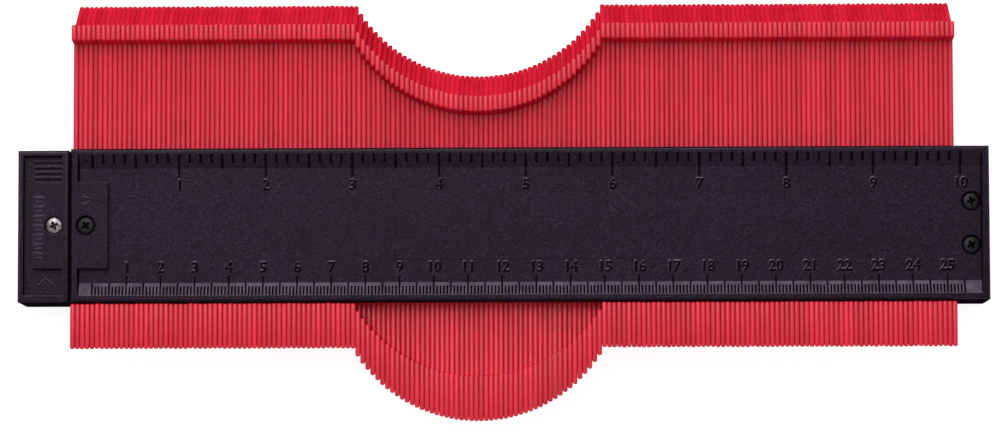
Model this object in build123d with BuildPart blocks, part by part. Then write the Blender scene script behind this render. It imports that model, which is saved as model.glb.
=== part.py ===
from build123d import *
import os
from math import sqrt

# The gauge lies on its back: length along X, fins along Y, ruler face towards +Z

# Fins
fin_count = 180
fin_pitch = 1.44
fin_gap = 0.1
fin_travel = 31.4
stem_depth = 8.8
head_height = 13.5
head_setback = 0.8
tab_height = 5.2
tab_undercut = 0.5
slope_start = 3.0
stop_gap = 0.3

# The round shape that the fins hold, taken from a cylinder pressed in from above
contour_width = 73.5
contour_depth = 21.5
contour_centre_x = -7.3
contour_zone_fins = 52

# Housing, with the covers front and rear and the end block at the left
housing_height = 45.0
housing_depth = 22.0
spacer_length = 9.3
end_block_length = 15.0
end_block_step = 0.45
block_gap = 0.4
fin_clearance = 0.3
edge_chamfer = 0.6

# Tray recess of each cover, with a sloping scale strip along its two long sides
recess_depth = 1.8
rim_left = 2.1
rim_right = 2.0
rim_top = 1.5
rim_bottom = 1.8
inch_strip_height = 4.2
mm_strip_height = 3.8

# Raised pads on both sides of the gap
pad_height = 25.4
cover_pad_length = 11.0
block_pad_length = 10.7

# Recess of the end block and its grip ribs
block_rim_left = 1.65
block_rim_right = 2.0
block_rim_top = 1.6
block_rim_bottom = 1.95
rib_count = 4
rib_pitch = 1.6
rib_width = 0.7
rib_height = 0.7
rib_length = 8.4
rib_top_margin = 1.2

# Screws
screw_head_diameter = 4.7
screw_head_height = 1.3
screw_shank_diameter = 2.6
screw_hole_clearance = 0.2
thread_clearance = 0.05
counterbore_clearance = 0.4
head_sink = 0.15
end_screw_edge = 5.2
end_screw_spacing = 12.8
end_screw_grip = 3.4
link_screw_from_gap = 4.5
clamp_screw_edge = 4.4
clamp_head_diameter = 4.9
clamp_shank_diameter = 3.0
clamp_hole_clearance = 0.3

# Nut of the clamp screw
nut_across_flats = 5.5
nut_thickness = 2.4
nut_clearance = 0.1

# Link plates, which carry the end block
plate_thickness = 1.2
plate_width = 16.0
plate_setback = 0.1
plate_slot_margin = 3.4
plate_screw_margin = 4.6
plate_clearance = 0.3
release_travel = 2.0

# Friction strips
strip_thickness = 1.0
strip_width = 6.0
strip_offset = 14.5
strip_proud = 0.1
strip_end_margin = 1.0

# Places along X
stack_length = fin_count * fin_pitch
housing_length = end_block_length + stack_length + 2 * fin_clearance + spacer_length
left_x = -housing_length / 2
right_x = housing_length / 2
block_right_x = left_x + end_block_length
cover_left_x = block_right_x + block_gap
stack_left_x = block_right_x + fin_clearance
stack_right_x = stack_left_x + stack_length
spacer_left_x = stack_right_x + fin_clearance
cover_length = right_x - cover_left_x
cover_middle_x = (cover_left_x + right_x) / 2
clamp_screw_x = block_right_x - clamp_screw_edge
link_screw_x = cover_left_x + link_screw_from_gap
end_screw_x = right_x - end_screw_edge
plate_left_x = clamp_screw_x - release_travel - plate_slot_margin
plate_right_x = link_screw_x + plate_screw_margin

# Places along Z
middle_z = housing_depth / 2
slot_half = stem_depth / 2 + fin_clearance
cover_depth = middle_z - slot_half
inner_z = middle_z + slot_half
floor_z = housing_depth - recess_depth
head_half = middle_z - head_setback


# How far the round shape pushes down the fin whose middle is at x
def push_down(x):
    radius = (contour_width**2 / 4 + contour_depth**2) / (2 * contour_depth)
    reach = radius**2 - (x - contour_centre_x) ** 2
    if reach <= 0:
        return 0.0
    return max(0.0, sqrt(reach) - (radius - contour_depth))


fin_thickness = fin_pitch - fin_gap
fin_left_edges = [stack_left_x + fin_gap / 2 + i * fin_pitch for i in range(fin_count)]
fin_drops = [push_down(x + fin_thickness / 2) for x in fin_left_edges]

# Places along Y: the origin is under the middle of the whole gauge, fins included
centre_y = -(fin_travel - max(fin_drops)) / 2
top_y = centre_y + housing_height / 2
bottom_y = centre_y - housing_height / 2
block_top_y = top_y - end_block_step
stem_length = housing_height + 2 * stop_gap + fin_travel

# One fin at the height where its lower head meets the housing
stem_half = stem_depth / 2
stem_base_y = bottom_y - stop_gap
upper_head = [
    (0, stem_half),
    (tab_undercut, head_half),
    (tab_height, head_half),
    (tab_height, slope_start),
    (head_height, -head_half),
    (0, -head_half),
    (0, -stem_half),
]
upper_base_y = stem_base_y + stem_length
fin_outline = [(upper_base_y + y, middle_z + z) for y, z in upper_head]
fin_outline += [(stem_base_y - y, middle_z - z) for y, z in upper_head]

with BuildPart() as fin:
    with BuildSketch(Plane.YZ) as fin_face:
        with BuildLine():
            Polyline(*fin_outline, close=True)
        make_face()
    extrude(amount=fin_thickness)

# Cover as moulded, drawn as the front one, before its screw holes
with BuildPart() as cover_blank:
    with BuildSketch(Plane.XY.offset(inner_z)):
        with Locations((cover_middle_x, centre_y)):
            Rectangle(cover_length, housing_height)
    extrude(amount=cover_depth)
    chamfer(faces().sort_by(Axis.Z)[-1].edges(), edge_chamfer)
    with BuildSketch(Plane.YZ.offset(cover_left_x + rim_left)):
        with BuildLine():
            Polyline(
                (top_y - rim_top, housing_depth),
                (top_y - rim_top - inch_strip_height, floor_z),
                (bottom_y + rim_bottom + mm_strip_height, floor_z),
                (bottom_y + rim_bottom, housing_depth),
                close=True,
            )
        make_face()
    extrude(amount=cover_length - rim_left - rim_right, mode=Mode.SUBTRACT)
    with BuildSketch(Plane.XY.offset(floor_z)):
        with Locations((cover_left_x + rim_left, centre_y)):
            Rectangle(cover_pad_length - rim_left, pad_height, align=(Align.MIN, Align.CENTER))
    extrude(amount=recess_depth)
    with BuildSketch(Plane.XY.offset(inner_z)):
        with Locations((cover_left_x, centre_y)):
            Rectangle(plate_right_x - cover_left_x, plate_width, align=(Align.MIN, Align.CENTER))
    extrude(amount=plate_thickness + plate_setback, mode=Mode.SUBTRACT)
    with BuildSketch(Plane.XY.offset(inner_z)):
        with Locations((cover_left_x + strip_end_margin, centre_y)):
            with GridLocations(0, 2 * strip_offset, 1, 2):
                Rectangle(
                    spacer_left_x - cover_left_x - 2 * strip_end_margin,
                    strip_width,
                    align=(Align.MIN, Align.CENTER),
                )
    extrude(amount=strip_thickness - strip_proud, mode=Mode.SUBTRACT)

# Front cover with its counterbored screw holes
screw_hole_radius = screw_shank_diameter / 2 + screw_hole_clearance
counterbore_radius = (screw_head_diameter + counterbore_clearance) / 2
counterbore_depth = screw_head_height + head_sink
end_screw_spots = [(end_screw_x, centre_y + side * end_screw_spacing / 2) for side in (1, -1)]

with BuildPart() as front_cover:
    add(cover_blank.part)
    with Locations(*[(x, y, floor_z) for x, y in end_screw_spots]):
        CounterBoreHole(screw_hole_radius, counterbore_radius, counterbore_depth)
    with Locations((link_screw_x, centre_y, housing_depth)):
        CounterBoreHole(screw_hole_radius, counterbore_radius, counterbore_depth)

# Rear cover, the same moulding turned over, with blind holes for the end screws
end_screw_length = floor_z - head_sink - middle_z + slot_half + end_screw_grip
thread_hole_radius = screw_shank_diameter / 2 + thread_clearance

with BuildPart() as rear_cover:
    add(mirror(cover_blank.part, about=Plane.XY.offset(middle_z)))
    with BuildSketch(Plane.XY.offset(middle_z - slot_half)):
        with Locations(*end_screw_spots):
            Circle(thread_hole_radius)
    extrude(amount=-end_screw_grip - screw_hole_clearance, mode=Mode.SUBTRACT)
    with Locations(Location((link_screw_x, centre_y, 0), (180, 0, 0))):
        CounterBoreHole(screw_hole_radius, counterbore_radius, counterbore_depth)

# Block between the covers at the right end
with BuildPart() as right_spacer:
    with BuildSketch(Plane.XY.offset(middle_z - slot_half)):
        with Locations(((spacer_left_x + right_x) / 2, centre_y)):
            Rectangle(spacer_length, housing_height)
        with Locations(*end_screw_spots):
            Circle(screw_hole_radius, mode=Mode.SUBTRACT)
    extrude(amount=2 * slot_half)

# Half of the end block, drawn as the front one
block_length = end_block_length
block_height = block_top_y - bottom_y
block_recess_right_x = block_right_x - block_rim_right
pad_left_x = block_right_x - block_pad_length
slot_inner_z = inner_z + plate_setback - plate_clearance
slot_outer_z = inner_z + plate_setback + plate_thickness + plate_clearance

with BuildPart() as block_blank:
    with BuildSketch(Plane.XY.offset(middle_z)):
        with Locations((left_x, bottom_y)):
            Rectangle(block_length, block_height, align=(Align.MIN, Align.MIN))
    extrude(amount=middle_z)
    chamfer(faces().sort_by(Axis.Z)[-1].edges(), edge_chamfer)
    with BuildSketch(Plane.XY.offset(housing_depth)):
        with Locations((left_x + block_rim_left, bottom_y + block_rim_bottom)):
            Rectangle(
                block_length - block_rim_left - block_rim_right,
                block_height - block_rim_top - block_rim_bottom,
                align=(Align.MIN, Align.MIN),
            )
        with Locations((pad_left_x, centre_y)):
            Rectangle(block_pad_length, pad_height, align=(Align.MIN, Align.CENTER), mode=Mode.SUBTRACT)
    extrude(amount=-recess_depth, mode=Mode.SUBTRACT)
    with BuildSketch(Plane.XY.offset(floor_z)):
        for rib in range(rib_count):
            rib_y = block_top_y - block_rim_top - rib_top_margin - rib * rib_pitch
            with Locations((block_recess_right_x, rib_y)):
                Rectangle(rib_length, rib_width, align=(Align.MAX, Align.MAX))
    extrude(amount=rib_height)
    with BuildSketch(Plane.XY.offset(slot_inner_z)):
        with Locations((block_right_x, centre_y)):
            Rectangle(
                block_right_x - plate_left_x + plate_clearance,
                plate_width + 2 * plate_clearance,
                align=(Align.MAX, Align.CENTER),
            )
    extrude(amount=slot_outer_z - slot_inner_z, mode=Mode.SUBTRACT)

# Front half, with the counterbore of the clamp screw
clamp_hole_radius = clamp_shank_diameter / 2 + clamp_hole_clearance
clamp_counterbore_radius = (clamp_head_diameter + counterbore_clearance) / 2

with BuildPart() as end_block_front:
    add(block_blank.part)
    with Locations((clamp_screw_x, centre_y, housing_depth)):
        CounterBoreHole(clamp_hole_radius, clamp_counterbore_radius, counterbore_depth)

# Rear half, with the pocket that holds the nut behind the rear link plate
nut_outer_z = 2 * middle_z - slot_outer_z - nut_thickness
nut_radius = nut_across_flats / sqrt(3)

with BuildPart() as end_block_rear:
    add(mirror(block_blank.part, about=Plane.XY.offset(middle_z)))
    with BuildSketch(Plane.XY.offset(nut_outer_z)):
        with Locations((clamp_screw_x, centre_y)):
            Circle(clamp_hole_radius)
    extrude(amount=middle_z - nut_outer_z, mode=Mode.SUBTRACT)
    with BuildSketch(Plane.XY.offset(nut_outer_z)):
        with Locations((clamp_screw_x, centre_y)):
            RegularPolygon(nut_radius + nut_clearance, 6)
    extrude(amount=nut_thickness, mode=Mode.SUBTRACT)

with BuildPart() as clamp_nut:
    with BuildSketch(Plane.XY.offset(nut_outer_z)):
        with Locations((clamp_screw_x, centre_y)):
            RegularPolygon(nut_radius, 6)
            Circle(clamp_shank_diameter / 2 + thread_clearance, mode=Mode.SUBTRACT)
    extrude(amount=nut_thickness)

# Link plates, each with a slot that lets the end block slide and a hole for its own screw
with BuildPart() as link_plates:
    for plate_z in (inner_z + plate_setback, 2 * middle_z - inner_z - plate_setback - plate_thickness):
        with BuildSketch(Plane.XY.offset(plate_z)):
            with Locations(((plate_left_x + plate_right_x) / 2, centre_y)):
                Rectangle(plate_right_x - plate_left_x, plate_width)
            with Locations((clamp_screw_x - release_travel / 2, centre_y)):
                Rectangle(release_travel + 2 * clamp_hole_radius, 2 * clamp_hole_radius, mode=Mode.SUBTRACT)
            with Locations((link_screw_x, centre_y)):
                Circle(thread_hole_radius, mode=Mode.SUBTRACT)
        extrude(amount=plate_thickness)


# Screw with its head up and the top of its head at the origin
def round_head_screw(head_diameter, shank_diameter, length):
    with BuildPart() as screw:
        with BuildSketch():
            Circle(head_diameter / 2)
        extrude(amount=-screw_head_height)
        with BuildSketch():
            Circle(shank_diameter / 2)
        extrude(amount=-length)
    return screw.part


link_screw_length = housing_depth - head_sink - inner_z - plate_setback
clamp_screw_length = housing_depth - head_sink - nut_outer_z

with BuildPart() as cover_screws:
    end_screw = round_head_screw(screw_head_diameter, screw_shank_diameter, end_screw_length)
    link_screw = round_head_screw(screw_head_diameter, screw_shank_diameter, link_screw_length)
    with Locations(*[(x, y, floor_z - head_sink) for x, y in end_screw_spots]):
        add(end_screw)
    with Locations((link_screw_x, centre_y, housing_depth - head_sink)):
        add(link_screw)
    with Locations(Location((link_screw_x, centre_y, head_sink), (180, 0, 0))):
        add(link_screw)

with BuildPart() as clamp_screw:
    with Locations((clamp_screw_x, centre_y, housing_depth - head_sink)):
        add(round_head_screw(clamp_head_diameter, clamp_shank_diameter, clamp_screw_length))

# Two strips in each cover that lightly brake the fins
with BuildPart() as friction_strips:
    for strip_z in (inner_z - strip_proud, 2 * middle_z - inner_z + strip_proud - strip_thickness):
        with BuildSketch(Plane.XY.offset(strip_z)):
            with Locations((cover_left_x + strip_end_margin, centre_y)):
                with GridLocations(0, 2 * strip_offset, 1, 2):
                    Rectangle(
                        spacer_left_x - cover_left_x - 2 * strip_end_margin,
                        strip_width,
                        align=(Align.MIN, Align.CENTER),
                    )
        extrude(amount=strip_thickness)

os.makedirs("parts", exist_ok=True)

fixed_parts = {
    "front_cover": front_cover.part,
    "rear_cover": rear_cover.part,
    "right_spacer": right_spacer.part,
    "end_block_front": end_block_front.part,
    "end_block_rear": end_block_rear.part,
    "clamp_nut": clamp_nut.part,
    "clamp_screw": clamp_screw.part,
    "link_plates": link_plates.part,
    "cover_screws": cover_screws.part,
    "friction_strips": friction_strips.part,
}
for name, solid in fixed_parts.items():
    solid.label = name
    export_step(solid, f"parts/{name}.step")

# Fins around the contour move two by two, the level ones beside them six by six
fins_per_contour_group = 2
fins_per_level_group = 6
zone_first = round((contour_centre_x - stack_left_x) / fin_pitch) - contour_zone_fins // 2
zone_end = zone_first + contour_zone_fins
fin_zones = [
    ("fins_left", 0, zone_first, fins_per_level_group),
    ("fins_contour", zone_first, zone_end, fins_per_contour_group),
    ("fins_right", zone_end, fin_count, fins_per_level_group),
]
fin_groups = {}
for zone, first, end, size in fin_zones:
    for number, start in enumerate(range(first, end, size), 1):
        fin_groups[f"{zone}_{number:02d}"] = range(start, min(start + size, end))

for name, indices in fin_groups.items():
    with BuildPart() as fin_group:
        with Locations(*[(fin_left_edges[i], -fin_drops[i], 0) for i in indices]):
            add(fin.part)
    fin_group.part.label = name
    export_step(fin_group.part, f"parts/{name}.step")
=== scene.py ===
import bpy
import bmesh
import math
import random
from mathutils import Matrix, Vector


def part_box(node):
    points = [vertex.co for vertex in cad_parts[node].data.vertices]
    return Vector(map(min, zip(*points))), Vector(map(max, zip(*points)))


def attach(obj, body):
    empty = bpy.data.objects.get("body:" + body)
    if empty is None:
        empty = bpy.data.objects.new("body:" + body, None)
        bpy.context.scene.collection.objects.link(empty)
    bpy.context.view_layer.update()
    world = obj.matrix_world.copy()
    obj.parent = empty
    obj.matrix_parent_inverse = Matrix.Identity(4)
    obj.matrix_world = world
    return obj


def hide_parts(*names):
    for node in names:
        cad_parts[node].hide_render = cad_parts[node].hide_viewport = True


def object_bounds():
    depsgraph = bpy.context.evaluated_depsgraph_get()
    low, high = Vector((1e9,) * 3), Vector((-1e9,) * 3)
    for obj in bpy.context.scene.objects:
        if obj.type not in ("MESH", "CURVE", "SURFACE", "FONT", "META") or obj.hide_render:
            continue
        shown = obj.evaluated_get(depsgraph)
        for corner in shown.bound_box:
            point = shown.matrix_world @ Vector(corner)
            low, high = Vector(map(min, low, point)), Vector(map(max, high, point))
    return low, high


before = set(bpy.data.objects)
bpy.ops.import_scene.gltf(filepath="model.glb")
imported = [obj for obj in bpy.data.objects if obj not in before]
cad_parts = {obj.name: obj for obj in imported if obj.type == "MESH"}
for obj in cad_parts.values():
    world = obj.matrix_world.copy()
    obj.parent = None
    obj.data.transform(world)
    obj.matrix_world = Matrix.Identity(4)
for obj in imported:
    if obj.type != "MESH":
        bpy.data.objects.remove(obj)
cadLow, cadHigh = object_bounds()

scene = bpy.context.scene
random.seed(7)
mm = 0.001


# Small helpers for materials


def newMaterial(name):
    material = bpy.data.materials.new(name)
    material.use_nodes = True
    return material, material.node_tree, material.node_tree.nodes["Principled BSDF"]


# Sets a socket to a value, or links it to another node's output
def feed(tree, node, socket, value):
    if isinstance(value, bpy.types.NodeSocket):
        tree.links.new(value, node.inputs[socket])
    else:
        node.inputs[socket].default_value = value


def addNode(tree, kind, **values):
    node = tree.nodes.new(kind)
    for key, value in values.items():
        if hasattr(node, key):
            setattr(node, key, value)
        else:
            node.inputs[key].default_value = value
    return node


def maths(tree, operation, *values):
    node = addNode(tree, "ShaderNodeMath", operation=operation)
    for socket, value in enumerate(values):
        feed(tree, node, socket, value)
    return node.outputs[0]


# The scale is one number, or one for each axis
def stretched(tree, scale):
    coords = addNode(tree, "ShaderNodeTexCoord")
    mapping = addNode(tree, "ShaderNodeMapping")
    mapping.inputs["Scale"].default_value = scale if isinstance(scale, tuple) else (scale,) * 3
    feed(tree, mapping, "Vector", coords.outputs["Object"])
    return mapping.outputs["Vector"]


def noise(tree, scale, detail=2.0, roughness=0.5):
    node = addNode(tree, "ShaderNodeTexNoise", Scale=1.0, Detail=detail, Roughness=roughness)
    feed(tree, node, "Vector", stretched(tree, scale))
    return node.outputs["Fac"]


def grey(value):
    return (value, value, value)


def ramp(tree, source, stops):
    node = addNode(tree, "ShaderNodeValToRGB")
    elements = node.color_ramp.elements
    while len(elements) < len(stops):
        elements.new(0.5)
    for element, (position, colour) in zip(elements, stops):
        element.position = position
        element.color = (*colour, 1)
    feed(tree, node, "Fac", source)
    return node.outputs["Color"]


# Sockets 0, 6 and 7 of this node are its factor and its two colours
def mixed(tree, factor, first, second, blend="MIX"):
    node = addNode(tree, "ShaderNodeMix", data_type="RGBA", blend_type=blend)
    for socket, value in ((0, factor), (6, first), (7, second)):
        feed(tree, node, socket, value)
    return node.outputs[2]


def multiplied(tree, first, second):
    return mixed(tree, 1.0, first, second, "MULTIPLY")


def bump(tree, height, strength, distance, before=None):
    node = addNode(tree, "ShaderNodeBump", Strength=strength, Distance=distance)
    feed(tree, node, "Height", height)
    if before:
        feed(tree, node, "Normal", before)
    return node.outputs["Normal"]


# Gloss that fades where the surface is seen at a low angle, as on a rough moulding
def setGloss(tree, shader, level):
    weight = addNode(tree, "ShaderNodeLayerWeight", Blend=0.5)
    faded = ramp(tree, weight.outputs["Facing"], [(0.33, grey(level)), (0.47, grey(0.0))])
    feed(tree, shader, "Specular IOR Level", faded)


# Small helpers for meshes


def newPiece(name, mesh, body, slot, *nodes):
    piece = bpy.data.objects.new(name, mesh)
    scene.collection.objects.link(piece)
    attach(piece, body)
    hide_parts(*nodes)
    return piece


# The mesh of a curve, or of a mesh after one modifier
def evaluated(data, kind=None, **values):
    item = bpy.data.objects.new("working", data)
    scene.collection.objects.link(item)
    if kind:
        modifier = item.modifiers.new(kind, kind)
        for key, value in values.items():
            setattr(modifier, key, value)
    bpy.context.view_layer.update()
    graph = bpy.context.evaluated_depsgraph_get()
    made = bpy.data.meshes.new_from_object(item.evaluated_get(graph))
    bpy.data.objects.remove(item)
    return made


def meshFrom(build, name):
    mesh = bpy.data.meshes.new(name)
    build.to_mesh(mesh)
    build.free()
    return mesh


def carved(mesh, cutterMesh):
    cutter = bpy.data.objects.new("cutter", cutterMesh)
    scene.collection.objects.link(cutter)
    made = evaluated(mesh, "BOOLEAN", object=cutter, solver="MANIFOLD", material_mode="TRANSFER")
    bpy.data.objects.remove(cutter)
    return made


# Smooth over curves only: large and level faces stay flat, and edges above the angle crisp
def shaded(mesh, angle, flatArea=1.0):
    if "custom_normal" in mesh.attributes:
        mesh.attributes.remove(mesh.attributes["custom_normal"])
    for polygon in mesh.polygons:
        polygon.use_smooth = abs(polygon.normal.z) < 0.9995 and polygon.area < flatArea
    mesh.set_sharp_from_angle(angle=math.radians(angle))
    return mesh


def circle(radius, z, steps, x=0.0, y=0.0):
    angles = [2 * math.pi * i / steps for i in range(steps)]
    return [(x + radius * math.cos(a), y + radius * math.sin(a), z) for a in angles]


def vertRing(mesh, points):
    return [mesh.verts.new(Vector(point) * mm) for point in points]


# A closed shape from rings of points: a lid at both ends, and a wall from each ring to the next
def closedRings(mesh, rings):
    faces = [mesh.faces.new(list(reversed(rings[0]))), mesh.faces.new(rings[-1])]
    for first, second in zip(rings, rings[1:]):
        for i in range(len(first)):
            j = (i + 1) % len(first)
            faces.append(mesh.faces.new((first[i], first[j], second[j], second[i])))
    return faces


# The points of each separate solid in a node
def islands(name):
    mesh = bmesh.new()
    mesh.from_mesh(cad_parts[name].data)
    bmesh.ops.remove_doubles(mesh, verts=mesh.verts, dist=1e-6)
    seen, groups = set(), []
    for vert in mesh.verts:
        if vert in seen:
            continue
        group, queue = [], [vert]
        seen.add(vert)
        while queue:
            current = queue.pop()
            group.append(current.co / mm)
            for edge in current.link_edges:
                other = edge.other_vert(current)
                if other not in seen:
                    seen.add(other)
                    queue.append(other)
        groups.append(group)
    mesh.free()
    return groups


# Materials of the housing, the screws and the inner pieces


# Dark moulding: flow shades, wide patches and a fine mottle under pale specks, with a bumpy grain
def housingPlastic(name, level, roughness, grainDepth, waveDepth, dark, light):
    material, tree, shader = newMaterial(name)
    streaks = noise(tree, (9, 60, 60), detail=4, roughness=0.6)
    flow = ramp(tree, streaks, [(0.3, dark), (0.72, light)])
    patch = ramp(tree, noise(tree, 26), [(0.35, grey(0.84)), (0.68, grey(1.1))])
    cloud = noise(tree, (950, 1500, 1500), detail=3, roughness=0.7)
    mottle = ramp(tree, cloud, [(0.38, grey(0.2)), (0.62, grey(1.8))])
    shades = multiplied(tree, multiplied(tree, flow, patch), mottle)
    speck = ramp(tree, noise(tree, 1900, detail=1), [(0.6, grey(0)), (0.74, grey(1))])
    speckTone = (0.033, 0.022, 0.038, 1)
    feed(tree, shader, "Base Color", mixed(tree, speck, shades, speckTone))
    rougher = roughness + 0.16
    worn = ramp(tree, noise(tree, 320, detail=3), [(0.3, grey(roughness)), (0.7, grey(rougher))])
    feed(tree, shader, "Roughness", worn)
    grain = noise(tree, 2600, detail=3, roughness=0.65)
    rough = bump(tree, grain, strength=0.6, distance=grainDepth * mm)
    wave = noise(tree, (35, 260, 260), detail=3)
    feed(tree, shader, "Normal", bump(tree, wave, 0.22, waveDepth * mm, rough))
    setGloss(tree, shader, level)
    feed(tree, shader, "Specular Tint", (0.92, 0.74, 1.0, 1))
    return material


def groovePlastic(name, level, dark, light):
    material, tree, shader = newMaterial(name)
    feed(tree, shader, "Base Color", ramp(tree, noise(tree, 900), [(0.3, dark), (0.7, light)]))
    feed(tree, shader, "Normal", bump(tree, noise(tree, 3000), strength=0.3, distance=0.03 * mm))
    feed(tree, shader, "Roughness", 0.6)
    feed(tree, shader, "Specular IOR Level", level)
    return material


# The scratch sets how fine the marks are along each axis
def metal(name, metallic, scratch, pits, roughness, dark, light, level=0.5):
    material, tree, shader = newMaterial(name)
    marks = noise(tree, scratch, detail=4, roughness=0.7)
    feed(tree, shader, "Base Color", ramp(tree, marks, [(0.32, dark), (0.68, light)]))
    low, high = roughness
    wear = noise(tree, tuple(1.7 * size for size in scratch), detail=3)
    feed(tree, shader, "Roughness", ramp(tree, wear, [(0.3, grey(low)), (0.7, grey(high))]))
    pitting = noise(tree, tuple(1.2 * size for size in scratch), detail=4, roughness=0.7)
    feed(tree, shader, "Normal", bump(tree, pitting, strength=pits, distance=0.08 * mm))
    feed(tree, shader, "Metallic", metallic)
    feed(tree, shader, "Specular IOR Level", level)
    return material


def feltFibre():
    material, tree, shader = newMaterial("feltGrey")
    tufts = noise(tree, 2500, detail=4, roughness=0.7)
    feed(tree, shader, "Base Color", ramp(tree, tufts, [(0.3, grey(0.018)), (0.75, grey(0.085))]))
    fibres = noise(tree, 3200, detail=4, roughness=0.7)
    feed(tree, shader, "Normal", bump(tree, fibres, strength=0.8, distance=0.2 * mm))
    feed(tree, shader, "Roughness", 0.95)
    feed(tree, shader, "Sheen Weight", 0.3)
    return material


charcoal = housingPlastic(
    "charcoalPlastic",
    level=0.145,
    roughness=0.22,
    grainDepth=0.2,
    waveDepth=0.12,
    dark=(0.0053, 0.0028, 0.0073),
    light=(0.0084, 0.0047, 0.0112),
)
stripGloss = housingPlastic(
    "polishedStrip",
    level=0.3,
    roughness=0.14,
    grainDepth=0.002,
    waveDepth=0.01,
    dark=(0.006, 0.0032, 0.0085),
    light=(0.0095, 0.0055, 0.0135),
)
# A lighter copy of the dark plastic: painted highlight on eased edges, raised marks and cut strokes
paintedLitPlastic = housingPlastic(
    "paintedLitMarks",
    level=0.6,
    roughness=0.2,
    grainDepth=0.004,
    waveDepth=0.01,
    dark=(0.016, 0.011, 0.0185),
    light=(0.0245, 0.0175, 0.028),
)
# Near-black: painted shade in ticks, countersinks and screw recesses, on edges and mark sides that face down
# or right, and on the numbers' tops
paintedShadePlastic = groovePlastic(
    "paintedShadeBlack",
    level=0.05,
    dark=(0.0007, 0.0005, 0.0009),
    light=(0.0022, 0.0016, 0.0025),
)
platedMetal = metal(
    "wornPlating",
    metallic=1.0,
    scratch=(1300, 1300, 1300),
    pits=0.9,
    roughness=(0.25, 0.5),
    dark=(0.04, 0.032, 0.038),
    light=(0.44, 0.38, 0.4),
)
blackMetal = metal(
    "blackenedSteel",
    metallic=0.0,
    scratch=(1100, 1100, 1100),
    pits=0.4,
    roughness=(0.32, 0.5),
    dark=(0.0035, 0.0025, 0.0035),
    light=(0.013, 0.0098, 0.012),
    level=0.22,
)
plateMetal = metal(
    "rolledSteel",
    metallic=1.0,
    scratch=(120, 2600, 2600),
    pits=0.25,
    roughness=(0.3, 0.45),
    dark=(0.33, 0.33, 0.34),
    light=(0.52, 0.52, 0.53),
)
nutMetal = metal(
    "nutPlating",
    metallic=1.0,
    scratch=(900, 900, 900),
    pits=0.3,
    roughness=(0.25, 0.4),
    dark=(0.45, 0.43, 0.4),
    light=(0.62, 0.6, 0.57),
)
felt = feltFibre()
print("materials made")


# Fins: one outline with rounded edges, set at each fin's own place

fins = dict(
    headHeight=13.5,
    headHalf=10.2,
    tabHeight=5.2,
    tabUndercut=0.5,
    slopeStart=3.0,
    stemLength=77.0,
    stemHalf=4.4,
    middle=11.0,
    thickness=1.41,
    pitch=1.44,
    firstEdge=-126.75,
    leftRound=(0.6, 0.46),
    rightRound=(0.52, 0.42),
    roundSteps=4,
    cornerSteps=3,
    cornerShare=0.42,
    tones=[(0, (0.67, 0.0118, 0.035)), (0.45, (0.735, 0.0155, 0.042)), (1, (0.83, 0.0195, 0.053))],
    levelDrop=(-0.15, 0.0),
    contourDrop=(-0.06, 0.06),
    lean=(-0.01, 0.01),
    lift=(-0.1, 0.1),
)


# Red plastic, in a tone that follows each fin's number along the row
def finPlastic():
    material, tree, shader = newMaterial("finRed")
    position = addNode(tree, "ShaderNodeSeparateXYZ")
    feed(tree, position, 0, stretched(tree, 1000))
    along = maths(tree, "SUBTRACT", position.outputs["X"], fins["firstEdge"])
    own = addNode(tree, "ShaderNodeTexWhiteNoise", noise_dimensions="1D")
    feed(tree, own, "W", maths(tree, "FLOOR", maths(tree, "DIVIDE", along, fins["pitch"])))
    tone = ramp(tree, own.outputs["Value"], fins["tones"])
    cloud = ramp(tree, noise(tree, (260, 90, 260), detail=3), [(0.3, grey(0.86)), (0.7, grey(1.0))])
    fine = ramp(tree, noise(tree, (3600, 1500, 3600)), [(0.35, grey(0.9)), (0.65, grey(1.0))])
    feed(tree, shader, "Base Color", multiplied(tree, multiplied(tree, tone, cloud), fine))
    wear = noise(tree, (700, 260, 700), detail=3)
    feed(tree, shader, "Roughness", ramp(tree, wear, [(0.3, grey(0.27)), (0.7, grey(0.42))]))
    drawn = bump(tree, noise(tree, (5200, 420, 5200)), strength=0.16, distance=0.05 * mm)
    wave = noise(tree, (160, 60, 160), detail=1)
    feed(tree, shader, "Normal", bump(tree, wave, 0.35, 0.25 * mm, drawn))
    setGloss(tree, shader, 0.44)
    return material


# Each corner of a head: place, radius, and how far the edge that leads to it is rounded
def headOutline():
    half, stem, tab = fins["headHalf"], fins["stemHalf"], fins["tabHeight"]
    return [
        (0, stem, 0.3, 1.0),
        (fins["tabUndercut"], half, 0.6, 0.5),
        (tab, half, 0.65, 1.0),
        (tab, fins["slopeStart"], 0.3, 0.5),
        (fins["headHeight"], -half, 0.25, 0.6),
        (0, -half, 0.65, 1.0),
        (0, -stem, 0.3, 0.5),
    ]


# The outline moved inward edge by edge, then rounded at its corners
def finRing(inset):
    base = fins["stemLength"] / 2
    corners = [(Vector((base + y, z)), r, w) for y, z, r, w in headOutline()]
    corners += [(Vector((-base - y, -z)), r, w) for y, z, r, w in headOutline()]
    count = len(corners)
    moved = []
    for i, (point, _, share) in enumerate(corners):
        before = (point - corners[i - 1][0]).normalized()
        after = (corners[(i + 1) % count][0] - point).normalized()
        first, second = Vector((before.y, -before.x)), Vector((after.y, -after.x))
        one, two = inset * share, inset * corners[(i + 1) % count][2]
        turn = first.x * second.y - first.y * second.x
        shift = Vector((one * second.y - two * first.y, two * first.x - one * second.x))
        moved.append(point + shift / turn)
    ring = []
    limit, steps = fins["cornerShare"], fins["cornerSteps"]
    for i, point in enumerate(moved):
        toLast, toNext = moved[i - 1] - point, moved[(i + 1) % count] - point
        angle = toLast.angle(toNext)
        reach = min(corners[i][1] / math.tan(angle / 2), limit * toLast.length, limit * toNext.length)
        start, end = point + toLast.normalized() * reach, point + toNext.normalized() * reach
        for step in range(steps + 1):
            t = step / steps
            ring.append(start * (1 - t) ** 2 + point * 2 * t * (1 - t) + end * t**2)
    return ring


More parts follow.
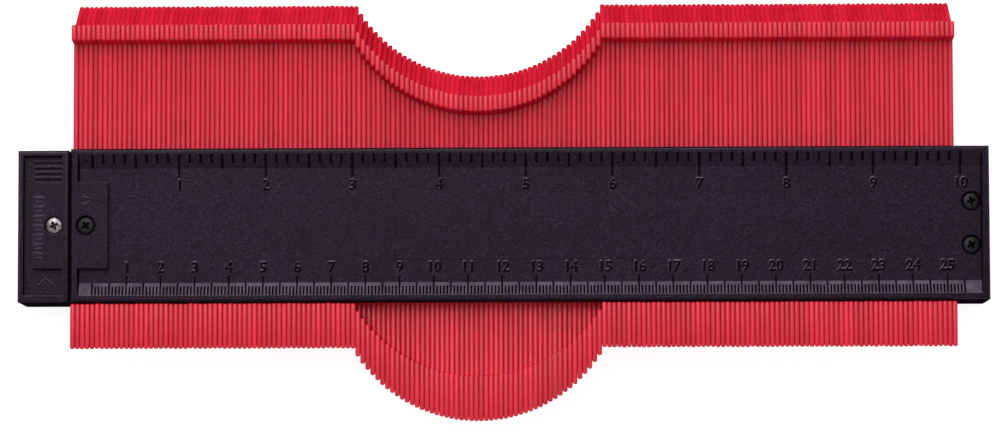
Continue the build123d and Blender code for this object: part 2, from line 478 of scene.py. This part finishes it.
# How far along the thickness each ring stands, and how far it is moved inward
def finLevels():
    steps = fins["roundSteps"]
    turns = [math.radians(90 * step / steps) for step in range(steps + 1)]
    wide, deep = fins["leftRound"]
    levels = [(wide * (1 - math.cos(turn)), deep * (1 - math.sin(turn))) for turn in turns]
    wide, deep = fins["rightRound"]
    for turn in reversed(turns):
        levels.append((fins["thickness"] - wide * (1 - math.cos(turn)), deep * (1 - math.sin(turn))))
    return levels


ridges = dict(sunk=0.1, play=0.004, stemEnd=1.0, stemHalf=0.6, headSpan=(0.8, 12.2), edgeSpan=(1.2, 2.0))


# Low spacer ridges on the right side of a fin, which keep it square to its neighbour
def spacerRidges(mesh, place):
    base, half = fins["stemLength"] / 2, fins["headHalf"]
    stem, side = base - ridges["stemEnd"], ridges["stemHalf"]
    near, far = (base + y for y in ridges["headSpan"])
    back, front = (z - half for z in ridges["edgeSpan"])
    spans = [(-stem, stem, -side, side), (near, far, back, front), (-far, -near, -front, -back)]
    sides = (fins["thickness"] - ridges["sunk"], fins["pitch"] - ridges["play"])
    for low, high, back, front in spans:
        corners = ((low, back), (high, back), (high, front), (low, front))
        closedRings(mesh, [[mesh.verts.new(place(x, y, z)) for y, z in corners] for x in sides])


levelRings = [(x, finRing(inset)) for x, inset in finLevels()]


def finGroupMesh(name):
    points = [v.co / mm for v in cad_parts[name].data.vertices]
    edges = sorted({round(p.x, 2) for p in points})
    mesh = bmesh.new()
    for left in edges[::2]:
        own = [p for p in points if abs(p.x - left) < 0.05]
        top, bottom = max(p.y for p in own), min(p.y for p in own)
        middle = (top + bottom) / 2
        drop = random.uniform(*fins["contourDrop" if "contour" in name else "levelDrop"])
        if bottom < cadLow.y / mm + 0.1:
            drop = 0.0
        shiftTop, shiftBottom = random.uniform(*fins["lean"]), random.uniform(*fins["lean"])
        lift = random.uniform(*fins["lift"])

        def place(x, y, z):
            lean = shiftBottom + (shiftTop - shiftBottom) * (0.5 + y / (top - bottom))
            return Vector((left + x + lean, middle + drop + y, fins["middle"] + lift + z)) * mm

        rows = [[mesh.verts.new(place(x, point.x, point.y)) for point in ring] for x, ring in levelRings]
        spacerRidges(mesh, place)
        closedRings(mesh, rows)
    bmesh.ops.recalc_face_normals(mesh, faces=mesh.faces)
    made = meshFrom(mesh, name)
    made.materials.append(finRed)
    return made


finRed = finPlastic()
for name in sorted(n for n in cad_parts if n.startswith("fins_")):
    newPiece("red_" + name, shaded(finGroupMesh(name), angle=50), name, "fin_plastic", name)
print("fins made")


# Housing: the CAD covers and end block with eased edges, scales cut in and numbers raised

housing = dict(
    edgeRound=0.36,
    edgeAngle=28,
    trayDepth=1.8,
    inchRim=1.5,
    inchStrip=4.2,
    mmRim=1.8,
    mmStrip=3.8,
    stripArea=2e-6,
    flatArea=1.5e-6,
    slice=5.5,
)

coverLow, coverHigh = (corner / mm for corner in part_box("front_cover"))
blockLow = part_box("end_block_front")[0] / mm
centreY = (coverLow.y + coverHigh.y) / 2
topZ = coverHigh.z
floorZ = topZ - housing["trayDepth"]
inchTop = coverHigh.y - housing["inchRim"]
inchFoot = inchTop - housing["inchStrip"]
mmBottom = coverLow.y + housing["mmRim"]
mmFoot = mmBottom + housing["mmStrip"]

# Places in the list of materials: plain charcoal comes first on a housing mesh; in a cut the painted-shade
# black comes first, the painted-highlight copy second
# The painted-highlight copy and the painted-shade black follow the polished strip on a housing mesh
stripShade, paintedLitSlot, paintedShadeSlot = 1, 2, 3
paintedLitCut = 1


def withShades(mesh):
    for material in (charcoal, stripGloss, paintedLitPlastic, paintedShadePlastic):
        mesh.materials.append(material)
    return mesh


# Eased edges get painted highlight from a lighter copy of the plastic, and painted shade in near-black where
# they face down or right
def easedCopy(name):
    build = bmesh.new()
    build.from_mesh(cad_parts[name].data)
    bmesh.ops.remove_doubles(build, verts=build.verts, dist=1e-6)
    bmesh.ops.dissolve_limit(build, angle_limit=math.radians(0.5), verts=build.verts, edges=build.edges)
    eased = evaluated(
        withShades(meshFrom(build, name)),
        "BEVEL",
        width=housing["edgeRound"] * mm,
        segments=2,
        limit_method="ANGLE",
        angle_limit=math.radians(housing["edgeAngle"]),
        material=paintedLitSlot,
    )
    for polygon in eased.polygons:
        tilt = polygon.normal
        if polygon.material_index == paintedLitSlot and tilt.z > 0.2 and (tilt.y < -0.3 or tilt.x > 0.3):
            polygon.material_index = paintedShadeSlot
    return eased


inch = 25.4
scales = dict(
    zero=-120.3,
    eighths=80,
    inchWidth=0.74,
    inchDepth=0.32,
    inchInset=0.12,
    inchLong=6.8,
    inchHalf=4.25,
    inchShort=2.75,
    millimetres=255,
    mmWidth=0.54,
    mmDepth=0.4,
    mmInset=0.15,
    mmPast=2.0,
    mmShort=2.75,
    cutterAbove=0.6,
    endWidth=0.4,
    endDepth=0.3,
    endSunk=0.07,
    endRight=2.25,
    endLeft=2.35,
    padHalf=12.6,
)
pointer = dict(place=(-1.7, -2.1), corners=[(-0.5, -0.4), (0.5, 0.0), (-0.5, 0.4)], span=(-1.3, -0.3))


# The faces that a tick runs along: down the sloping strip and on over the tray floor
def inchSurface(foot):
    slope = (topZ - floorZ) / (inchTop - inchFoot)
    points = [(inchTop - scales["inchInset"], topZ - scales["inchInset"] * slope)]
    if foot >= inchFoot:
        return points + [(foot, topZ - (inchTop - foot) * slope)]
    return points + [(inchFoot, floorZ), (foot, floorZ)]


def mmSurface(head):
    slope = (topZ - floorZ) / (mmFoot - mmBottom)
    foot = mmBottom + scales["mmInset"]
    points = [(foot, topZ - (foot - mmBottom) * slope)]
    if head <= mmFoot:
        return points + [(head, topZ - (head - mmBottom) * slope)]
    return points + [(mmFoot, floorZ), (head, floorZ)]


# A tick cut is lined with near-black painted shade
def tick(mesh, x, width, surface, depth):
    outline = [(y, z + scales["cutterAbove"]) for y, z in surface]
    outline += [(y, z - depth) for y, z in reversed(surface)]
    half = width / 2 * random.uniform(0.93, 1.07)
    closedRings(mesh, [vertRing(mesh, [(x + at, y, z) for y, z in outline]) for at in (-half, half)])


def scaleCutters():
    mesh = bmesh.new()
    zero = scales["zero"]
    for count in range(scales["eighths"] + 1):
        reach = scales["inchShort"]
        if count == 0 or count % 8 == 4:
            reach = scales["inchHalf"]
        elif count % 8 == 0:
            reach = scales["inchLong"]
        surface = inchSurface(inchTop - reach)
        tick(mesh, zero + count * inch / 8, scales["inchWidth"], surface, scales["inchDepth"])
    for count in range(scales["millimetres"] + 1):
        head = mmBottom + scales["mmShort"]
        if count and count % 10 == 0:
            head = mmFoot + scales["mmPast"]
        elif count % 5 == 0:
            head = mmFoot
        tick(mesh, zero + count, scales["mmWidth"], mmSurface(head), scales["mmDepth"])
    right, left = coverHigh.x - scales["endRight"], coverLow.x + scales["endLeft"]
    wide, deep = scales["endWidth"], scales["endDepth"]
    lastPoint = (mmBottom + scales["mmInset"], topZ - scales["endSunk"])
    tick(mesh, right, wide, inchSurface(mmFoot) + [lastPoint], deep)
    tick(mesh, left, wide, inchSurface(centreY + scales["padHalf"]), deep)
    tick(mesh, left, wide, mmSurface(centreY - scales["padHalf"]), deep)
    x, y = zero + pointer["place"][0], inchTop + pointer["place"][1]
    levels = [topZ + z for z in pointer["span"]]
    closedRings(mesh, [vertRing(mesh, [(x + a, y + b, z) for a, b in pointer["corners"]]) for z in levels])
    return mesh


sinks = dict(frontZ=15, steps=40, profile=[(2.4, -0.5), (3.08, 0.12)])


# A sloping edge round each screw on the front, lined with near-black painted shade
def countersinks(mesh):
    for points in islands("cover_screws"):
        if max(p.z for p in points) > sinks["frontZ"]:
            x = sum(p.x for p in points) / len(points)
            y = sum(p.y for p in points) / len(points)
            surface = topZ if x < 0 else floorZ
            rings = [circle(radius, surface + z, sinks["steps"], x, y) for radius, z in sinks["profile"]]
            closedRings(mesh, [vertRing(mesh, ring) for ring in rings])


strokes = dict(sunk=-0.03, above=0.1, shorter=0.4, crest=0.08, shadedTilt=-0.25)


# A stroke with sloping sides: raised from a level face, or cut into it where the height is negative
# A raised stroke is painted highlight with painted shade on faces that face down; a cut stroke is lined with
# painted highlight
def stroke(mesh, x, y, angle, surfaceZ, length, width, height):
    isRaised = height > 0
    turn = Matrix.Rotation(math.radians(angle), 2)
    foot = (length / 2, width / 2, strokes["sunk" if isRaised else "above"])
    crest = (length / 2 - width * strokes["shorter"], width * strokes["crest"], height)
    rings = []
    for along, across, z in (foot, crest):
        corners = [(-along, -across), (along, -across), (along, across), (-along, across)]
        placed = [turn @ Vector(corner) + Vector((x, y)) for corner in corners]
        rings.append(vertRing(mesh, [(*corner, surfaceZ + z) for corner in placed]))
    for face in closedRings(mesh, rings):
        face.normal_update()
        face.material_index = paintedLitSlot if isRaised else paintedLitCut
        if isRaised and face.normal.y < strokes["shadedTilt"]:
            face.material_index = paintedShadeSlot


chevron = dict(right=4.6, up=7.6, apart=0.75, angle=26, size=dict(length=3.0, width=1.2, height=-0.28))


# Two strokes that meet in a point, cut into the cover's raised pad
def padCuts(mesh):
    x, y = coverLow.x + chevron["right"], centreY + chevron["up"]
    for side in (1, -1):
        at = y + side * chevron["apart"]
        stroke(mesh, x, at, -side * chevron["angle"], topZ, **chevron["size"])


bars = dict(
    count=7,
    pitch=2.75,
    right=6.1,
    up=8.5,
    long=dict(length=3.5, width=1.2, height=-0.26),
    short=dict(length=2.5, width=0.75, height=-0.1),
)


# A row of long and short bars, cut into the end block's raised pad
def blockCuts():
    mesh = bmesh.new()
    x = blockLow.x + bars["right"]
    for count in range(bars["count"]):
        y = centreY + bars["up"] - count * bars["pitch"]
        stroke(mesh, x, y, 0, topZ, **bars["long"])
        stroke(mesh, x, y - bars["pitch"] / 2, 0, topZ, **bars["short"])
    return mesh


numerals = dict(size=4.209, body=0.1, slope=0.3, rise=0.19, sunk=0.03, inchDown=9.2, mmUp=4.5)


# A number on the tray floor: painted highlight on its upper and left sides, painted shade on its lower and
# right sides, and the same near-black on its top
def numeral(mesh, number, x, y):
    curve = bpy.data.curves.new("numeral", "FONT")
    curve.body = str(number)
    curve.align_x = "CENTER"
    curve.align_y = "CENTER"
    curve.size = numerals["size"] * mm
    curve.extrude = numerals["body"] * mm
    curve.bevel_depth = numerals["slope"] * mm
    curve.bevel_resolution = 0
    curve.resolution_u = 4
    made = evaluated(curve)
    place = Vector((x, y, floorZ - numerals["sunk"])) * mm
    flatten = numerals["rise"] / (numerals["slope"] + numerals["body"])
    made.transform(Matrix.Translation(place) @ Matrix.Diagonal((1, 1, flatten, 1)))
    for polygon in made.polygons:
        isLit = polygon.normal.y > 0.2 or polygon.normal.x < -0.3
        polygon.material_index = paintedLitSlot if isLit else paintedShadeSlot
    mesh.from_mesh(made)
    bmesh.ops.remove_doubles(mesh, verts=mesh.verts, dist=1e-7)


panel = dict(left=-31.5, right=45.2, half=10.1, slope=0.15, rise=0.07, sunk=0.2)


# The faint level outline in the middle of the tray floor
def ghostPanel(mesh):
    rings = []
    for grow, z in ((panel["slope"], -panel["sunk"]), (panel["slope"], 0.0), (0.0, panel["rise"])):
        left, right, half = panel["left"] - grow, panel["right"] + grow, panel["half"] + grow
        low, high = centreY - half, centreY + half
        corners = ((left, low), (right, low), (right, high), (left, high))
        rings.append(vertRing(mesh, [(x, y, floorZ + z) for x, y in corners]))
    closedRings(mesh, rings)


def coverRelief():
    mesh = bmesh.new()
    ghostPanel(mesh)
    for count in range(1, 11):
        numeral(mesh, count, scales["zero"] + inch * count, inchTop - numerals["inchDown"])
    for count in range(1, 26):
        numeral(mesh, count, scales["zero"] + 10 * count, mmFoot + numerals["mmUp"])
    return mesh


caret = dict(right=8.1, down=16.4, apart=1.1, angles=(48, -42), size=dict(length=3.4, width=0.8, height=0.17))


# Two raised strokes that meet in a point, low on the end block
def blockRelief():
    mesh = bmesh.new()
    x, y = blockLow.x + caret["right"], centreY - caret["down"]
    for side, angle in zip((-1, 1), caret["angles"]):
        stroke(mesh, x + side * caret["apart"], y, angle, floorZ, **caret["size"])
    return mesh


# Cut faces take the near-black painted shade, or the painted-highlight copy where a stroke asks for it
def cutterMesh(build):
    bmesh.ops.recalc_face_normals(build, faces=build.faces)
    mesh = meshFrom(build, "cutters")
    mesh.materials.append(paintedShadePlastic)
    mesh.materials.append(paintedLitPlastic)
    return mesh


# Short slices keep the flat faces simple before the marks are cut in
def sliced(mesh, name):
    low, high = ((corner / mm).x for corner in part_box(name))
    build = bmesh.new()
    build.from_mesh(mesh)
    count = math.ceil((high - low) / housing["slice"])
    for i in range(1, count):
        at = Vector((low + (high - low) * i / count, 0, 0)) * mm
        parts = build.verts[:] + build.edges[:] + build.faces[:]
        bmesh.ops.bisect_plane(build, geom=parts, plane_co=at, plane_no=(1, 0, 0))
    return withShades(meshFrom(build, mesh.name))


# The two sloping strips of a cover are smoother than the rest
def polishStrips(mesh):
    for polygon in mesh.polygons:
        isSloping = 0.3 < abs(polygon.normal.y) < 0.5 and abs(polygon.normal.x) < 0.05
        if isSloping and polygon.area > housing["stripArea"]:
            polygon.material_index = stripShade


def housingMesh(name, cutters=None, relief=None):
    base = easedCopy(name)
    if cutters:
        base = sliced(base, name)
    if "cover" in name:
        polishStrips(base)
    if cutters:
        base = carved(base, cutters)
    if relief:
        bmesh.ops.recalc_face_normals(relief, faces=relief.faces)
        relief.from_mesh(base)
        base = withShades(meshFrom(relief, name))
    return shaded(base, angle=18, flatArea=housing["flatArea"])


cutters = scaleCutters()
countersinks(cutters)
padCuts(cutters)
coverMesh = housingMesh("front_cover", cutterMesh(cutters), coverRelief())
newPiece("frontCover", coverMesh, "housing", "housing_plastic", "front_cover")
print("front cover made")
newPiece("rearCover", housingMesh("rear_cover"), "housing", "housing_plastic", "rear_cover")
newPiece("rightSpacer", housingMesh("right_spacer"), "housing", "housing_plastic", "right_spacer")
blockMesh = housingMesh("end_block_front", cutterMesh(blockCuts()), blockRelief())
newPiece("endBlockFront", blockMesh, "end_block", "housing_plastic", "end_block_front")
newPiece("endBlockRear", housingMesh("end_block_rear"), "end_block", "housing_plastic", "end_block_rear")
print("housing made")


# Screws: turned, with a cross recess in each head, lined with a darker material as painted shade

screws = dict(
    dome=0.28,
    headHeight=1.3,
    threadStart=1.7,
    threadEnd=0.9,
    threadPitch=0.5,
    threadDepth=0.22,
    turnSteps=48,
    recessReach=1.35,
    recessHalf=0.36,
    recessDepth=0.95,
    recessAbove=0.4,
    recessTaper=(0.5, 1.22),
    coverTurns=[8, 38, 32, 12],
    clampTurn=24,
)


# Radius and height of each ring, from the middle of the head to the end of the shank
def screwProfile(headRadius, shank, length):
    dome, head = screws["dome"], screws["headHeight"]
    profile = [(headRadius * t, -dome * t**2) for t in (0.0, 0.2, 0.4, 0.6, 0.8)]
    profile += [(headRadius - 0.12, -dome - 0.02), (headRadius - 0.03, -dome - 0.1)]
    profile += [(headRadius, -dome - 0.22), (headRadius, -head + 0.1)]
    profile += [(headRadius - 0.1, -head), (shank, -head)]
    depth = screws["threadStart"]
    while depth < length - screws["threadEnd"]:
        profile += [(shank, -depth), (shank - screws["threadDepth"], -depth - screws["threadPitch"] / 2)]
        depth += screws["threadPitch"]
    return profile + [(shank - 0.1, -length + 0.5), (shank - 0.45, -length), (0.0, -length)]


def turned(profile, material):
    build = bmesh.new()
    steps = screws["turnSteps"]
    rings = []
    for radius, z in profile:
        if radius == 0.0:
            rings.append([build.verts.new((0, 0, z))] * steps)
        else:
            rings.append([build.verts.new(point) for point in circle(radius, z, steps)])
    for first, second in zip(rings, rings[1:]):
        for i in range(steps):
            j = (i + 1) % steps
            corners = []
            for vert in (first[i], second[i], second[j], first[j]):
                if vert not in corners:
                    corners.append(vert)
            build.faces.new(corners)
    bmesh.ops.recalc_face_normals(build, faces=build.faces)
    mesh = meshFrom(build, "turned")
    mesh.materials.append(material)
    return mesh


def crossCutter(material):
    arm, half = screws["recessReach"], screws["recessHalf"]
    inner = half * 1.25
    plus = []
    for quarter in range(4):
        spun = Matrix.Rotation(math.radians(90 * quarter), 2)
        plus += [spun @ Vector(corner) for corner in ((arm, -half), (arm, half), (inner, inner))]
    build = bmesh.new()
    rings = []
    for share, z in zip(screws["recessTaper"], (-screws["recessDepth"], screws["recessAbove"])):
        rings.append([build.verts.new((p.x * share, p.y * share, z)) for p in plus])
    closedRings(build, rings)
    bmesh.ops.recalc_face_normals(build, faces=build.faces)
    mesh = meshFrom(build, "cross")
    mesh.materials.append(material)
    return mesh


def screwMesh(points, metalUsed, recessShadePaint, turn):
    low = Vector([min(p[i] for p in points) for i in range(3)])
    high = Vector([max(p[i] for p in points) for i in range(3)])
    middle = (low + high) / 2
    reaches = [(p.xy - middle.xy).length for p in points]
    headRadius = max(reaches)
    shank = min(reach for reach in reaches if reach > 0.5)
    atTop = max(reach for reach, p in zip(reaches, points) if p.z > high.z - 0.05)
    headUp = atTop > headRadius - 0.1
    made = carved(turned(screwProfile(headRadius, shank, high.z - low.z), metalUsed), crossCutter(recessShadePaint))
    flip = Matrix.Identity(4) if headUp else Matrix.Rotation(math.pi, 4, "X")
    head = Vector((middle.x, middle.y, high.z if headUp else low.z)) * mm
    made.transform(Matrix.Rotation(math.radians(turn), 4, "Z"))
    made.transform(Matrix.Translation(head) @ Matrix.Scale(mm, 4) @ flip)
    return shaded(made, angle=32)


build = bmesh.new()
for points, turn in zip(islands("cover_screws"), screws["coverTurns"]):
    build.from_mesh(screwMesh(points, blackMetal, paintedShadePlastic, turn))
joined = meshFrom(build, "coverScrews")
joined.materials.append(blackMetal)
joined.materials.append(paintedShadePlastic)
newPiece("coverScrews", shaded(joined, angle=32), "housing", "black_screw", "cover_screws")
clampMesh = screwMesh(islands("clamp_screw")[0], platedMetal, blackMetal, screws["clampTurn"])
newPiece("clampScrew", clampMesh, "clamp_screw", "plated_screw", "clamp_screw")
print("screws made")

for node, material in (("link_plates", plateMetal), ("clamp_nut", nutMetal), ("friction_strips", felt)):
    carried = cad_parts[node].data
    carried.materials.clear()
    carried.materials.append(material)


# Floor, light and camera

stage = dict(
    half=3.0,
    height=-0.0004,
    tone=0.42,
    backdrop=0.86,
    sky=[(0.0, 0.95), (0.12, 0.8), (0.4, 0.5), (1.0, 0.5)],
    sides=[(0.15, 0.85), (0.55, 1.0)],
)
lamps = [
    dict(name="keySoftbox", power=10.3, elevation=62, azimuth=-24, distance=1.5, size=(0.9, 0.9)),
    dict(name="lowSoftbox", power=3.6, elevation=36.5, azimuth=0, distance=1.5, size=(0.9, 0.24)),
    dict(name="topSoftbox", power=1.0, elevation=85.5, azimuth=0, distance=1.5, size=(0.22, 0.28)),
]
view = dict(
    aim=(-0.9, -20.4, 22.0),
    place=(15.0, -105.8, 1172.0),
    roll=-0.2,
    frameWidth=291.9,
    shift=0.06,
    sensor=36,
    clip=(0.05, 20),
)


# One for the rays that show the backdrop, straight on, through or in a reflection
def backdropRays(tree):
    rays = addNode(tree, "ShaderNodeLightPath").outputs
    shown = maths(tree, "MAXIMUM", rays["Is Camera Ray"], rays["Is Glossy Ray"])
    return maths(tree, "MAXIMUM", shown, rays["Is Transmission Ray"])


def floorPlane():
    build = bmesh.new()
    half = stage["half"]
    for x, y in ((-half, -half), (half, -half), (half, half), (-half, half)):
        build.verts.new((x, y, stage["height"]))
    build.faces.new(build.verts)
    mesh = meshFrom(build, "floor")
    material, tree, shader = newMaterial("paleFloor")
    feed(tree, shader, "Base Color", (*grey(stage["tone"]), 1))
    feed(tree, shader, "Roughness", 1.0)
    feed(tree, shader, "Specular IOR Level", 0.0)
    feed(tree, shader, "Emission Color", (1, 1, 1, 1))
    glow = maths(tree, "MULTIPLY", backdropRays(tree), stage["backdrop"])
    feed(tree, shader, "Emission Strength", glow)
    mesh.materials.append(material)
    floor = bpy.data.objects.new("floor", mesh)
    scene.collection.objects.link(floor)


def skyLight():
    world = bpy.data.worlds.new("studio")
    scene.world = world
    world.use_nodes = True
    tree = world.node_tree
    split = addNode(tree, "ShaderNodeSeparateXYZ")
    feed(tree, split, 0, addNode(tree, "ShaderNodeTexCoord").outputs["Generated"])
    sky = ramp(tree, split.outputs["Z"], [(height, grey(level)) for height, level in stage["sky"]])
    side = maths(tree, "MULTIPLY_ADD", split.outputs["Y"], 0.5, 0.5)
    towards = ramp(tree, side, [(place, grey(level)) for place, level in stage["sides"]])
    feed(tree, tree.nodes["Background"], "Color", multiplied(tree, sky, towards))


def areaLight(name, power, elevation, azimuth, distance, size):
    lamp = bpy.data.lights.new(name, "AREA")
    lamp.shape = "RECTANGLE"
    lamp.size, lamp.size_y = size
    lamp.energy = power
    item = bpy.data.objects.new(name, lamp)
    scene.collection.objects.link(item)
    up, side = math.radians(elevation), math.radians(azimuth)
    direction = Vector((math.cos(up) * math.sin(side), math.cos(up) * math.cos(side), math.sin(up)))
    item.location = direction * distance
    item.rotation_mode = "QUATERNION"
    item.rotation_quaternion = direction.to_track_quat("Z", "Y")


def addCamera():
    camera = bpy.data.objects.new("camera", bpy.data.cameras.new("camera"))
    scene.collection.objects.link(camera)
    scene.camera = camera
    aim, camera.location = Vector(view["aim"]) * mm, Vector(view["place"]) * mm
    look = (camera.location - aim).normalized()
    right = (Vector((1, 0, 0)) - look * look.x).normalized()
    level = Matrix((right, look.cross(right), look)).transposed()
    roll = Matrix.Rotation(math.radians(view["roll"]), 3, look)
    camera.rotation_mode = "QUATERNION"
    camera.rotation_quaternion = (roll @ level).to_quaternion()
    camera.data.sensor_width = view["sensor"]
    camera.data.lens = view["sensor"] * (camera.location - aim).length / (view["frameWidth"] * mm)
    camera.data.shift_y = view["shift"]
    camera.data.clip_start, camera.data.clip_end = view["clip"]


floorPlane()
skyLight()
for lamp in lamps:
    areaLight(**lamp)
addCamera()

scene.view_settings.view_transform = "Standard"
